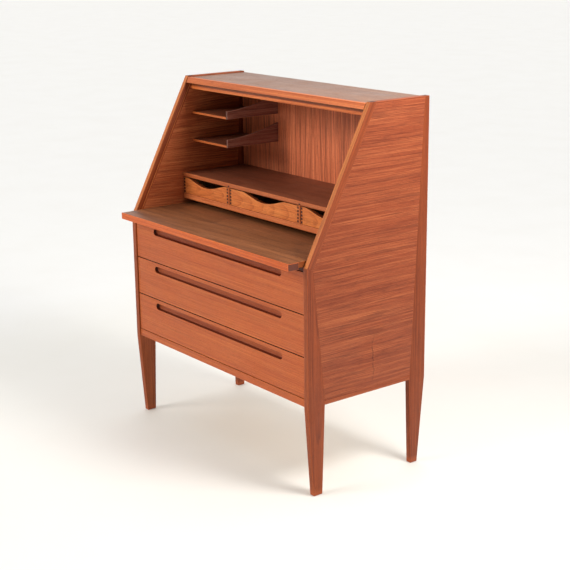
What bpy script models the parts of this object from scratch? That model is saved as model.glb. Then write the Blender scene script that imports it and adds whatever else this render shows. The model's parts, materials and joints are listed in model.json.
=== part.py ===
"""Slant-front secretary desk on four legs, with a sliding writing flap, six drawers and letter trays."""
import math

import bmesh
import bpy
from mathutils import Vector

# Overall case, in metres. Heights are from the floor; depths run back from the front edge of the sides.
case_width = 0.900
case_depth = 0.446
case_height = 1.102
case_underside = 0.268          # bottom of the case, top of the free legs
kink_height = 0.672             # where the upright front edge turns into the slant
slant_run = 0.223               # how far back the slanted edge leans
side_thickness = 0.018
contact_gap = 0.0003            # left between pieces that touch

# Solid members around each side panel
upright_low_width = 0.061       # front upright at the case underside
upright_high_width = 0.0193     # front upright at the kink
stile_width = 0.021             # band along the slanted edge
rear_low_width = 0.061
rear_top_width = 0.017
side_rail_height = 0.016
front_foot = (0.020, 0.051)     # front and rear edge of the front foot at the floor
rear_foot = (0.051, 0.025)      # front and rear edge of the rear foot, from the rear of the case
seat_depth = 0.0025             # shallow rebate that the closed flap would sit in
seat_width = 0.017

# Top and back
top_step = 0.004                # the sides stand this much above the top board
top_thickness = 0.0165
lipping_depth = 0.020
stop_rail_height = 0.0207
stop_rail_depth = 0.018
back_thickness = 0.006
back_setback = 0.003            # from the rear edge of the sides to the back panel

# Large drawers: fronts fill the opening, boxes hang on runners in side grooves
large_drawers = ("drawer_bottom", "drawer_middle", "drawer_top")
drawer_zone_gap = 0.0016        # from the top drawer's reveal to the dust board
front_setback = 0.004
front_thickness = 0.018
front_reveal = 0.0026            # gap between one front and the next
front_side_gap = 0.0015
front_rail_height = 0.0225
front_rail_lift = 0.0005        # front rail above the case underside
case_bottom_thickness = 0.008
box_wall = 0.012
box_side_gap = 0.0025
box_drop = 0.0125               # drawer side below the upper edge of its front
box_lift = 0.012                # drawer side above the lower edge of its front
box_rear_gap = 0.0164           # from the box to the back panel
box_floor = 0.005
box_floor_lift = 0.005
runner_reach = 0.0085
runner_height = 0.014
runner_share = 0.5              # lower edge of the runner, as a share of the drawer side's height
groove_clearance = 0.0005
groove_end_clearance = 0.001
runner_start = 0.004            # behind the drawer front
runner_back_gap = 0.006
pull_margin = 0.101             # from the pull's end to the end of the front
pull_height = 0.021
pull_depth = 0.012
pull_drop = 0.022               # centre of the pull slot below the top of the front

# Writing flap: a panel with a deeper front lipping, sliding on two runners
flap_above_kink = 0.018         # writing surface above the kink of the side
flap_thickness = 0.016
flap_lip_thickness = 0.020
flap_lip_depth = 0.036
flap_overhang = 0.050
flap_rear_gap = 0.0267          # from the flap, pushed in, to the back panel
flap_side_gap = 0.002
flap_panel_inset = 0.001        # panel edge inside the lipping's end
flap_runner_width = 0.014
flap_runner_height = 0.0047
flap_lift = 0.0004
dust_board_thickness = 0.0075
pin_radius = 0.0035
pin_reach = 0.004               # how far the pin enters the groove in the side
pin_setback = 0.0068            # centre of the pin in front of the rear leg
groove_front = 0.010            # front end of the pin groove
pin_clearance = 0.0005

# Small-drawer cabinet
cabinet_setback = 0.191
paper_gap = 0.0155              # between the writing surface and the cabinet
cabinet_base_thickness = 0.016
small_opening_height = 0.0565
shelf_thickness = 0.012
side_bay_width = 0.250
divider_thickness = 0.008
small_front_thickness = 0.012
small_setback = 0.0015
small_side_gap = 0.0014
small_floor_gap = 0.0014
small_top_gap = 0.0033
small_box_wall = 0.007
small_box_floor = 0.004
small_box_drop = 0.004          # box walls below the top of the front
small_box_rear_gap = 0.0099
scoop_chord = 0.210
scoop_depth = 0.0205

# Letter trays on the left side
trays = ("lower", "upper")
first_tray_share = 0.368        # lower tray, as a share of the height over the cabinet shelf
tray_pitch_share = 0.3345
tray_setback = 0.234
tray_width = 0.188
tray_thickness = 0.006
tray_lip_thickness = 0.006
tray_lip_front_share = 0.276    # front height of the tray's lip, as a share of the tray pitch
tray_lip_rear_share = 0.685
tray_lip_curve = 1.6            # how hollow the rise of the tray lip is

curve_steps = 24
cut_overshoot = 0.001           # how far a cutter passes the face that it opens
edge_ease = 0.0008
thin_edge_ease = 0.0006
lip_edge_ease = 0.0012

# The desk is centred over the origin, with the flap's overhang counted in its depth.
case_front = flap_overhang - (case_depth + flap_overhang) / 2
inner_half = case_width / 2 - side_thickness
board_half = inner_half - contact_gap
top_level = case_height - top_step
back_face = case_depth - back_setback - back_thickness
inside_rear = back_face - contact_gap
flap_top = kink_height + flap_above_kink
flap_rear = inside_rear - flap_rear_gap
dust_board_top = flap_top - flap_thickness - flap_lift - flap_runner_height - contact_gap
front_rail_top = case_underside + front_rail_lift + front_rail_height
drawer_zone_bottom = front_rail_top + front_reveal / 2
drawer_zone_top = dust_board_top - dust_board_thickness - drawer_zone_gap
drawer_pitch = (drawer_zone_top - drawer_zone_bottom) / len(large_drawers)
cabinet_base_bottom = flap_top + paper_gap
cabinet_base_top = cabinet_base_bottom + cabinet_base_thickness
shelf_bottom = cabinet_base_top + small_opening_height
shelf_top = shelf_bottom + shelf_thickness
stop_rail_bottom = top_level - top_thickness - contact_gap - stop_rail_height
tray_pitch = tray_pitch_share * (stop_rail_bottom - shelf_top)
first_tray_bottom = shelf_top + first_tray_share * (stop_rail_bottom - shelf_top)

colours = {
    "teak": (0.50, 0.19, 0.085), "teak_solid": (0.58, 0.23, 0.095), "teak_dark": (0.26, 0.10, 0.05),
    "writing": (0.30, 0.17, 0.085), "drawer_box": (0.55, 0.36, 0.19), "top": (0.42, 0.27, 0.18),
    "brass": (0.72, 0.52, 0.24),
}


def clear_scene():
    for item in list(bpy.data.objects):
        bpy.data.objects.remove(item, do_unlink=True)


def make_material(name, tone):
    material = bpy.data.materials.new(name)
    material.use_nodes = True
    shader = material.node_tree.nodes["Principled BSDF"]
    shader.inputs["Base Color"].default_value = (*colours[tone], 1.0)
    shader.inputs["Roughness"].default_value = 0.25 if tone == "brass" else 0.45
    shader.inputs["Metallic"].default_value = 1.0 if tone == "brass" else 0.0
    return material


def add_object(name, mesh, origin, tone, parent):
    """Link a mesh as one named piece; origin is in world space."""
    piece = bpy.data.objects.new(name, mesh)
    bpy.context.scene.collection.objects.link(piece)
    piece.parent = parent
    piece.location = Vector(origin) - (parent.location if parent else Vector())
    if tone:
        mesh.materials.append(make_material(name, tone))
    return piece


def close_mesh(name, shape):
    bmesh.ops.recalc_face_normals(shape, faces=shape.faces)
    mesh = bpy.data.meshes.new(name)
    shape.to_mesh(mesh)
    shape.free()
    return mesh


def extrude_outline(name, outline, axis, low, high, tone, parent=None):
    """Closed solid from an outline square to axis. Outlines are (depth, height), (across, height)
    or (across, depth); depth is measured from the front of the case."""
    turn = {"x": lambda u, v, w: (w, case_front + u, v), "y": lambda u, v, w: (u, case_front + w, v),
            "z": lambda u, v, w: (u, case_front + v, w)}[axis]
    corners = [[Vector(turn(u, v, level)) for u, v in outline] for level in (low, high)]
    origin = sum(corners[0] + corners[1], Vector()) / (2 * len(outline))
    shape = bmesh.new()
    rings = [[shape.verts.new(point - origin) for point in ring] for ring in corners]
    shape.faces.new(rings[0])
    shape.faces.new(rings[1])
    for index in range(len(outline)):
        after = (index + 1) % len(outline)
        shape.faces.new((rings[0][index], rings[0][after], rings[1][after], rings[1][index]))
    return add_object(name, close_mesh(name, shape), origin, tone, parent)


def board(name, across, depth, height, tone, parent=None):
    """Rectangular piece from its (low, high) spans; depth is measured from the front of the case."""
    (left, right), (low, high) = across, height
    outline = [(left, low), (right, low), (right, high), (left, high)]
    return extrude_outline(name, outline, "y", depth[0], depth[1], tone, parent)


def soften(piece, width=edge_ease):
    bevel = piece.modifiers.new("eased edges", "BEVEL")
    bevel.width = width
    bevel.segments = 2
    bevel.limit_method = "ANGLE"
    bevel.angle_limit = math.radians(30)
    return piece


def cut_away(piece, cutter):
    cutter.hide_render = True
    cutter.display_type = "WIRE"
    trim = piece.modifiers.new("cut", "BOOLEAN")
    trim.operation = "DIFFERENCE"
    trim.solver = "EXACT"
    trim.object = cutter
    return piece


def group(name, across, depth, height):
    """Empty on the line that a sliding group moves along."""
    empty = bpy.data.objects.new(name, None)
    empty.location = (across, case_front + depth, height)
    bpy.context.scene.collection.objects.link(empty)
    return empty


def line_meet(first, second):
    """Crossing of two lines, each given by two points."""
    (ax, ay), (bx, by) = first
    (cx, cy), (dx, dy) = second
    turn = (ax - bx) * (cy - dy) - (ay - by) * (cx - dx)
    first_cross = ax * by - ay * bx
    second_cross = cx * dy - cy * dx
    return ((first_cross * (cx - dx) - (ax - bx) * second_cross) / turn,
            (first_cross * (cy - dy) - (ay - by) * second_cross) / turn)


def along(line, height):
    """Point of a line at a height."""
    (ay, az), (by, bz) = line
    share = (height - az) / (bz - az)
    return ay + share * (by - ay), height


def shifted(line, distance):
    """The line moved square to itself; a positive distance moves it to the right of its direction."""
    (ay, az), (by, bz) = line
    length = math.hypot(by - ay, bz - az)
    shift = (distance * (bz - az) / length, -distance * (by - ay) / length)
    return (ay + shift[0], az + shift[1]), (by + shift[0], bz + shift[1])


def circle(centre, radius):
    return [(centre[0] + radius * math.cos(angle), centre[1] + radius * math.sin(angle))
            for angle in (2 * math.pi * step / curve_steps for step in range(curve_steps))]


def stadium(centre, length, height):
    """Slot outline with round ends."""
    radius = height / 2
    reach = length / 2 - radius
    half = [(centre[0] + reach + radius * math.cos(angle), centre[1] + radius * math.sin(angle))
            for angle in (math.pi * (step / curve_steps - 0.5) for step in range(curve_steps + 1))]
    return half + [(2 * centre[0] - u, 2 * centre[1] - v) for u, v in half]


def side_outlines():
    """Outlines of the pieces of one side, as (depth, height) points."""
    slant = ((0.0, kink_height), (slant_run, case_height))
    stile_line = shifted(slant, stile_width)
    upright_line = ((upright_low_width, case_underside), (upright_high_width, kink_height))
    leg_line = rear_line()
    corner = line_meet(stile_line, upright_line)
    stile_top = along(stile_line, case_height)
    rail_top = case_underside + side_rail_height
    joint = shifted((slant[0], corner), -contact_gap)
    panel_front = shifted(upright_line, contact_gap)
    panel_slant = shifted(stile_line, contact_gap)
    panel_rear = shifted(leg_line, -contact_gap)
    panel_low = rail_top + contact_gap
    leg = [slant[0], (0.0, case_underside), (front_foot[0], 0.0), (front_foot[1], 0.0),
           upright_line[0], corner]
    stile = [line_meet(joint, slant), slant[1], stile_top, line_meet(joint, stile_line)]
    panel = [along(panel_front, panel_low), line_meet(panel_front, panel_slant),
             along(panel_slant, case_height), along(panel_rear, case_height), along(panel_rear, panel_low)]
    rail = [along(panel_front, case_underside), along(panel_front, rail_top),
            along(panel_rear, rail_top), along(panel_rear, case_underside)]
    foot_front, foot_rear = (case_depth - setback for setback in rear_foot)
    rear = [leg_line[1], leg_line[0], (foot_front, 0.0), (foot_rear, 0.0),
            (case_depth, case_underside), (case_depth, case_height)]
    seat = [slant[0], slant[1], along(shifted(slant, seat_width), case_height),
            along(shifted(slant, seat_width), kink_height)]
    return {"front_leg": leg, "slant_stile": stile, "side_panel": panel, "side_rail": rail,
            "rear_leg": rear, "seat": seat}


def rear_line():
    """Front edge of the rear leg, from the case underside to the top."""
    return (case_depth - rear_low_width, case_underside), (case_depth - rear_top_width, case_height)


def pin_place():
    """Depth and height of the flap's pins when it is pushed in."""
    height = flap_top - flap_thickness / 2
    return along(rear_line(), height)[0] - pin_setback, height


def build_side(name, sign):
    outlines = side_outlines()
    span = sorted((sign * inner_half, sign * case_width / 2))
    pieces = {}
    for key in ("front_leg", "slant_stile", "side_panel", "side_rail", "rear_leg"):
        tone = "teak" if key == "side_panel" else "teak_solid"
        pieces[key] = extrude_outline(f"{key}_{name}", outlines[key], "x", *span, tone)
    pin_depth, pin_height = pin_place()
    groove_radius = pin_radius + pin_clearance
    groove_rear = pin_depth + groove_radius
    groove_centre = ((groove_front + groove_rear) / 2, pin_height)
    groove = stadium(groove_centre, groove_rear - groove_front, 2 * groove_radius)
    groove_floor = inner_half + pin_reach + pin_clearance
    groove_span = sorted((sign * (inner_half - cut_overshoot), sign * groove_floor))
    groove_cutter = extrude_outline(f"cut_groove_{name}", groove, "x", *groove_span, None)
    seat_span = sorted((sign * (inner_half - cut_overshoot), sign * (inner_half + seat_depth)))
    seat_cutter = extrude_outline(f"cut_seat_{name}", outlines["seat"], "x", *seat_span, None)
    cut_away(pieces["slant_stile"], seat_cutter)
    cut_away(pieces["slant_stile"], groove_cutter)
    cut_away(pieces["side_panel"], groove_cutter)


def build_top_and_back():
    slant = ((0.0, kink_height), (slant_run, case_height))
    underside = top_level - top_thickness
    lip_rear = along(slant, underside)[0] + lipping_depth
    lip = [along(slant, top_level), along(slant, underside), (lip_rear, underside), (lip_rear, top_level)]
    extrude_outline("top_lipping", lip, "x", -board_half, board_half, "teak_solid")
    board("top_board", (-board_half, board_half), (lip_rear + contact_gap, case_depth),
          (underside, top_level), "top")
    board("flap_stop_rail", (-board_half, board_half), (lip_rear, lip_rear + stop_rail_depth),
          (stop_rail_bottom, underside - contact_gap), "teak_solid")
    board("back_panel", (-board_half, board_half), (back_face, back_face + back_thickness),
          (case_underside + contact_gap, underside - contact_gap), "teak_dark")


def build_case_floor():
    rail_rear = front_setback + front_thickness
    soften(board("front_rail", (-board_half, board_half), (front_setback, rail_rear),
                 (front_rail_top - front_rail_height, front_rail_top), "teak_solid"))
    floor_low = case_underside + contact_gap
    board("case_bottom", (-board_half, board_half), (rail_rear + contact_gap, inside_rear),
          (floor_low, floor_low + case_bottom_thickness), "drawer_box")


def build_flap_supports():
    runner_top = flap_top - flap_thickness - flap_lift
    runner_low = runner_top - flap_runner_height
    board("dust_board", (-board_half, board_half), (front_setback, inside_rear),
          (dust_board_top - dust_board_thickness, dust_board_top), "drawer_box")
    for name, sign in (("left", -1), ("right", 1)):
        across = sorted((sign * board_half, sign * (board_half - flap_runner_width)))
        board(f"flap_runner_{name}", across, (front_setback, inside_rear), (runner_low, runner_top),
              "teak_dark")


def build_cabinet():
    depth = (cabinet_setback, inside_rear)
    soften(board("cabinet_base", (-board_half, board_half), depth, (cabinet_base_bottom, cabinet_base_top),
                 "teak"))
    soften(board("cabinet_shelf", (-board_half, board_half), depth, (shelf_bottom, shelf_top), "teak"))
    height = (cabinet_base_top + contact_gap, shelf_bottom - contact_gap)
    outer = inner_half - side_bay_width
    for name, sign in (("left", -1), ("right", 1)):
        across = sorted((sign * outer, sign * (outer - divider_thickness)))
        board(f"cabinet_divider_{name}", across, depth, height, "teak")


def tray_lip_outline(low):
    """Wedge that rises in a hollow curve from the front of the tray to the back panel."""
    reach = inside_rear - tray_setback
    rise = tray_pitch * (tray_lip_rear_share - tray_lip_front_share)
    front_top = low + tray_pitch * tray_lip_front_share
    crest = [(tray_setback + share * reach, front_top + rise * share ** tray_lip_curve)
             for share in (step / curve_steps for step in range(curve_steps + 1))]
    return [(inside_rear, low), (tray_setback, low)] + crest


def build_trays():
    tray_right = tray_width - inner_half
    lip_left = tray_right + contact_gap
    for index, name in enumerate(trays):
        low = first_tray_bottom + index * tray_pitch
        soften(board(f"tray_{name}", (-board_half, tray_right), (tray_setback, inside_rear),
                     (low, low + tray_thickness), "teak_dark"), thin_edge_ease)
        extrude_outline(f"tray_lip_{name}", tray_lip_outline(low), "x", lip_left,
                        lip_left + tray_lip_thickness, "teak_dark")


def build_flap():
    pin_depth, pin_height = pin_place()
    half = inner_half - flap_side_gap
    panel_half = half - flap_panel_inset
    lip_rear = flap_lip_depth - flap_overhang
    parent = group("flap_slide", 0.0, -flap_overhang, flap_top - flap_thickness / 2)
    board("flap_panel", (-panel_half, panel_half), (lip_rear + contact_gap, flap_rear),
          (flap_top - flap_thickness, flap_top), "writing", parent)
    soften(board("flap_lipping", (-half, half), (-flap_overhang, lip_rear),
                 (flap_top - flap_lip_thickness, flap_top), "teak_solid", parent), lip_edge_ease)
    for name, sign in (("left", -1), ("right", 1)):
        across = sorted((sign * (panel_half + contact_gap), sign * (inner_half + pin_reach)))
        round_pin = circle((pin_depth, pin_height), pin_radius)
        pin = extrude_outline(f"flap_pin_{name}", round_pin, "x", *across, "brass", parent)
        pin.data.shade_smooth()
        pin.data.set_sharp_from_angle(angle=math.radians(35))


def runner_span(low, high):
    """Lower and upper edge of the runner that carries a drawer side."""
    bottom = low + runner_share * (high - low)
    return bottom, bottom + runner_height


def grooved_side(low, high, sign):
    """Drawer side outline, as (across, height), with the runner's groove in its outer face."""
    outer = inner_half - box_side_gap
    inner = outer - box_wall
    groove_floor = inner_half - contact_gap - runner_reach - groove_end_clearance
    runner_low, runner_high = runner_span(low, high)
    groove_low = runner_low - groove_clearance
    groove_high = runner_high + groove_clearance
    points = [(inner, low), (outer, low), (outer, groove_low), (groove_floor, groove_low),
              (groove_floor, groove_high), (outer, groove_high), (outer, high), (inner, high)]
    return [(sign * across, height) for across, height in points]


def build_large_drawer(name, bottom):
    """Front with a routed pull, two grooved sides, back and floor, and the runners on the case sides."""
    low = bottom + front_reveal / 2
    high = bottom + drawer_pitch - front_reveal / 2
    front_rear = front_setback + front_thickness
    half = inner_half - front_side_gap
    parent = group(f"{name}_slide", 0.0, front_setback, (low + high) / 2)
    front = board(f"{name}_front", (-half, half), (front_setback, front_rear), (low, high), "teak_solid",
                  parent)
    soften(front)
    slot = stadium((0.0, high - pull_drop), 2 * (half - pull_margin), pull_height)
    cut_away(front, extrude_outline(f"cut_{name}_pull", slot, "y", front_setback - cut_overshoot,
                                    front_setback + pull_depth, None))
    box_low = low + box_lift
    box_high = high - box_drop
    box_front = front_rear + contact_gap
    box_rear = inside_rear - box_rear_gap
    inner = inner_half - box_side_gap - box_wall - contact_gap
    floor_low = box_low + box_floor_lift
    back_low = floor_low + box_floor + contact_gap
    for side, sign in (("left", -1), ("right", 1)):
        extrude_outline(f"{name}_side_{side}", grooved_side(box_low, box_high, sign), "y", box_front,
                        box_rear, "drawer_box", parent)
        across = sorted((sign * board_half, sign * (board_half - runner_reach)))
        board(f"{name}_runner_{side}", across, (front_rear + runner_start, inside_rear - runner_back_gap),
              runner_span(box_low, box_high), "teak_dark")
    board(f"{name}_floor", (-inner, inner), (box_front, box_rear), (floor_low, floor_low + box_floor),
          "drawer_box", parent)
    board(f"{name}_back", (-inner, inner), (box_rear - box_wall, box_rear),
          (back_low, box_high), "drawer_box", parent)


def scooped_front(left, right, low, high):
    """Small drawer front, as (across, height), with an arched finger cut-out in its upper edge."""
    half = scoop_chord / 2
    radius = (half ** 2 + scoop_depth ** 2) / (2 * scoop_depth)
    reach = math.asin(half / radius)
    middle = (left + right) / 2
    rise = high + radius - scoop_depth
    arc = [(middle + radius * math.sin(angle), rise - radius * math.cos(angle))
           for angle in (reach * (1 - 2 * step / curve_steps) for step in range(curve_steps + 1))]
    return [(left, low), (right, low), (right, high)] + arc + [(left, high)]


def build_small_drawer(name, bay):
    left = bay[0] + small_side_gap
    right = bay[1] - small_side_gap
    low = cabinet_base_top + small_floor_gap
    high = shelf_bottom - small_top_gap
    front_face = cabinet_setback + small_setback
    box_front = front_face + small_front_thickness + contact_gap
    box_rear = inside_rear - small_box_rear_gap
    parent = group(f"{name}_slide", (left + right) / 2, front_face, (low + high) / 2)
    extrude_outline(f"{name}_front", scooped_front(left, right, low, high), "y", front_face,
                    front_face + small_front_thickness, "teak_solid", parent)
    box = board(f"{name}_box", (left, right), (box_front, box_rear), (low, high - small_box_drop),
                "drawer_box", parent)
    cut_away(box, board(f"cut_{name}_inside", (left + small_box_wall, right - small_box_wall),
                        (box_front - cut_overshoot, box_rear - small_box_wall),
                        (low + small_box_floor, high + cut_overshoot), None))


def build_desk():
    clear_scene()
    for name, sign in (("left", -1), ("right", 1)):
        build_side(name, sign)
    build_top_and_back()
    build_case_floor()
    build_flap_supports()
    build_cabinet()
    build_trays()
    build_flap()
    for index, name in enumerate(large_drawers):
        build_large_drawer(name, drawer_zone_bottom + index * drawer_pitch)
    outer = inner_half - side_bay_width
    inner = outer - divider_thickness
    bays = {"left": (-inner_half, -outer), "centre": (-inner, inner), "right": (outer, inner_half)}
    for name, bay in bays.items():
        build_small_drawer(f"small_drawer_{name}", bay)


build_desk()
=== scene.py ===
import json
import math

import bmesh
import bpy
from mathutils import Matrix, Vector
from mathutils.bvhtree import BVHTree


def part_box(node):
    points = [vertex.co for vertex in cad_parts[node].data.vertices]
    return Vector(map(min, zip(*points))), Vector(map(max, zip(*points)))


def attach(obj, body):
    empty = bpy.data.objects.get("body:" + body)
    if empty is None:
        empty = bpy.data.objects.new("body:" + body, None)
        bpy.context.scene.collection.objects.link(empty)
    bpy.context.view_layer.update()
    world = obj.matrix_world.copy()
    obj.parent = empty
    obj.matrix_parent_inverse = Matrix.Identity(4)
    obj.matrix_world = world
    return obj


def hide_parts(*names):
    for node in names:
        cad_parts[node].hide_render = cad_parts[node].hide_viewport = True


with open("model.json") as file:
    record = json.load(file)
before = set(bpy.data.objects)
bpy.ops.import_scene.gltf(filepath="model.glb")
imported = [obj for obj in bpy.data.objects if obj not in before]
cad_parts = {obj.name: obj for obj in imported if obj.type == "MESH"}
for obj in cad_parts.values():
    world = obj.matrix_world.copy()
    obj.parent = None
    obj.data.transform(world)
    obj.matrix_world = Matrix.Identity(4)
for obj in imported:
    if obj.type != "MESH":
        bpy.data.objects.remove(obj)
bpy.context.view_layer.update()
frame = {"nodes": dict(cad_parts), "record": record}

print("frame loaded,", len(frame["nodes"]), "parts")

scene = bpy.context.scene
scene.view_settings.view_transform = "Standard"
scene.render.film_transparent = False

sideways = Vector((1, 0, 0))
backwards = Vector((0, 1, 0))
upwards = Vector((0, 0, 1))


camera = {
    "place": (3.057, -2.299, 1.562),
    "heading": 52.17,      # degrees from straight in front, towards the right
    "height": 15.57,       # degrees above level
    "roll": -0.62,
    "lens": 81.15,
    "sensor": 36,
    "farthest": 200,
}


def setCamera(values):
    heading, height, roll = (math.radians(values[key]) for key in ("heading", "height", "roll"))
    back = Vector((math.sin(heading) * math.cos(height), -math.cos(heading) * math.cos(height),
                   math.sin(height)))
    right = Vector((math.cos(heading), math.sin(heading), 0))
    above = back.cross(right)
    turnedRight = math.cos(roll) * right + math.sin(roll) * above
    turnedUp = math.cos(roll) * above - math.sin(roll) * right
    data = bpy.data.cameras.new("camera")
    data.lens = values["lens"]
    data.sensor_width = values["sensor"]
    data.clip_end = values["farthest"]
    item = bpy.data.objects.new("camera", data)
    scene.collection.objects.link(item)
    turn = Matrix((turnedRight, turnedUp, back)).transposed().to_4x4()
    item.matrix_world = Matrix.Translation(values["place"]) @ turn
    scene.camera = item


lamps = {      # soft suns: where each shines from, its strength and its breadth in degrees
    "leftLight": {"from": (-1.2, -3.8, 2.1), "strength": 1.9, "breadth": 30, "tint": (1.0, 0.98, 0.96)},
    "rightLight": {"from": (4.2, 1.0, 2.2), "strength": 0.62, "breadth": 26, "tint": (1.0, 0.98, 0.96)},
    "topLight": {"from": (-0.9, 0.4, 3.6), "strength": 0.7, "breadth": 60, "tint": (1.0, 0.99, 0.98)},
}
nearLamp = {"from": (1.45, 0.3, 1.95), "towards": (0.45, 0.1, 0.8), "size": 0.7, "strength": 33,
            "tint": (1.0, 0.98, 0.95)}
surround = {"colour": (1.0, 0.99, 0.975, 1.0), "towards": (-0.79, 0.61, 0.0),
            "fade": (-0.1, 0.7, 0.30, 0.95)}      # dim up to the first value, bright from the second


def addLamp(name, kind, values, target=Vector()):
    data = bpy.data.lights.new(name, kind)
    data.energy, data.color = values["strength"], values["tint"]
    item = bpy.data.objects.new(name, data)
    scene.collection.objects.link(item)
    item.location = values["from"]
    item.rotation_euler = (target - item.location).to_track_quat("-Z", "Y").to_euler()
    return data


def setLight():
    for name, values in lamps.items():
        addLamp(name, "SUN", values).angle = math.radians(values["breadth"])
    disk = addLamp("nearLamp", "AREA", nearLamp, Vector(nearLamp["towards"]))
    disk.shape, disk.size = "DISK", nearLamp["size"]
    world = bpy.data.worlds.new("studio")
    world.use_nodes = True
    tree = world.node_tree      # a pale wall behind the desk, a dimmer room in front of it
    where = tree.nodes.new("ShaderNodeTexCoord")
    facing = tree.nodes.new("ShaderNodeVectorMath")
    facing.operation = "DOT_PRODUCT"
    facing.inputs[1].default_value = surround["towards"]
    ramp = tree.nodes.new("ShaderNodeMapRange")
    for index, value in enumerate(surround["fade"], 1):
        ramp.inputs[index].default_value = value
    tree.links.new(where.outputs["Generated"], facing.inputs[0])
    tree.links.new(facing.outputs["Value"], ramp.inputs[0])
    tree.links.new(ramp.outputs[0], tree.nodes["Background"].inputs["Strength"])
    tree.nodes["Background"].inputs["Color"].default_value = surround["colour"]
    scene.world = world


setCamera(camera)
setLight()
print("camera and lights set")


def place(tree, kind, inputs=(), **settings):
    node = tree.nodes.new(kind)
    for key, value in settings.items():
        setattr(node, key, value)
    for key, value in inputs:
        if isinstance(value, bpy.types.NodeSocket):
            tree.links.new(value, node.inputs[key])
        else:
            node.inputs[key].default_value = value
    return node


def calc(tree, operation, *values, clamp=False):
    node = place(tree, "ShaderNodeMath", list(enumerate(values)), operation=operation, use_clamp=clamp)
    return node.outputs[0]


def times(tree, first, second):
    return calc(tree, "MULTIPLY", first, second)


def timesPlus(tree, first, second, third, clamp=False):
    return calc(tree, "MULTIPLY_ADD", first, second, third, clamp=clamp)


def centred(tree, noise):
    return calc(tree, "SUBTRACT", noise, 0.5)


def joinXyz(tree, x, y, z):
    return place(tree, "ShaderNodeCombineXYZ", [(0, x), (1, y), (2, z)]).outputs[0]


def noiseAt(tree, vector, detail=2.0, roughness=0.5, scale=1.0):
    node = place(tree, "ShaderNodeTexNoise",
                 [("Vector", vector), ("Scale", scale), ("Detail", detail), ("Roughness", roughness)])
    return node.outputs["Fac"]


def stretchedNoise(tree, parts, stretch, detail, roughness):      # noise with its own scale on each axis
    parts = [times(tree, part, scale) if scale != 1 else part for part, scale in zip(parts, stretch)]
    return noiseAt(tree, joinXyz(tree, *parts), detail, roughness)


def spread(tree, value, low, high, start=0.0, end=1.0):
    node = place(tree, "ShaderNodeMapRange",
                 [(0, value), (1, low), (2, high), (3, start), (4, end)])
    return node.outputs[0]


def blendColour(tree, factor, first, second, mode="MIX"):
    node = place(tree, "ShaderNodeMix", data_type="RGBA", blend_type=mode, clamp_factor=True)
    for socket, value in zip((node.inputs[0], node.inputs[6], node.inputs[7]), (factor, first, second)):
        if isinstance(value, bpy.types.NodeSocket):
            tree.links.new(value, socket)
        else:
            socket.default_value = value
    return node.outputs[2]


def newGroup(name, kind, inputs, outputs):
    tree = bpy.data.node_groups.new(name, kind)
    for label, socketKind, value in inputs:
        socket = tree.interface.new_socket(label, in_out="INPUT", socket_type=socketKind)
        if value is not None:
            socket.default_value = value
    for label, socketKind in outputs:
        tree.interface.new_socket(label, in_out="OUTPUT", socket_type=socketKind)
    return tree, tree.nodes.new("NodeGroupInput").outputs, tree.nodes.new("NodeGroupOutput").inputs


number, vector = "NodeSocketFloat", "NodeSocketVector"


grainNoise = {      # stretch along the board, across it and into it, then detail and roughness
    "drift": ((1.5, 6.0, 6.0), 2.0, 0.5),
    "ripple": ((9.0, 20.0, 1), 2.0, 0.5),
    "slowRings": ((0.55, 0.9, 1), 3.0, 0.6),
    "fibre": ((22.0, 1, 1), 2.0, 0.6),
    "pores": ((85.0, 1.35, 1.35), 1.0, 0.5),
    "broadStreak": ((0.9, 1, 1), 3.0, 0.6),
    "thinStreak": ((1.3, 5.8, 5.8), 2.0, 0.6),
    "fleck": ((1.7, 0.46, 0.46), 2.0, 0.65),
    "mottle": ((3.5, 34.0, 34.0), 3.0, 0.6),
}
grainMix = {"drift": 3.0, "ripple": 0.06, "ringBend": 1.4, "lateWood": 4.0, "fineness": 1250.0, "thin": 0.5}
toneShares = {"slowRings": 0.30, "mottle": 0.16, "fibre": 0.26, "fleck": 0.42, "lateWood": -0.10}
grainSpans = {"tone": (0.36, 0.70), "streak": (0.49, 0.62), "pores": (0.60, 0.70)}      # noise levels kept


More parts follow.
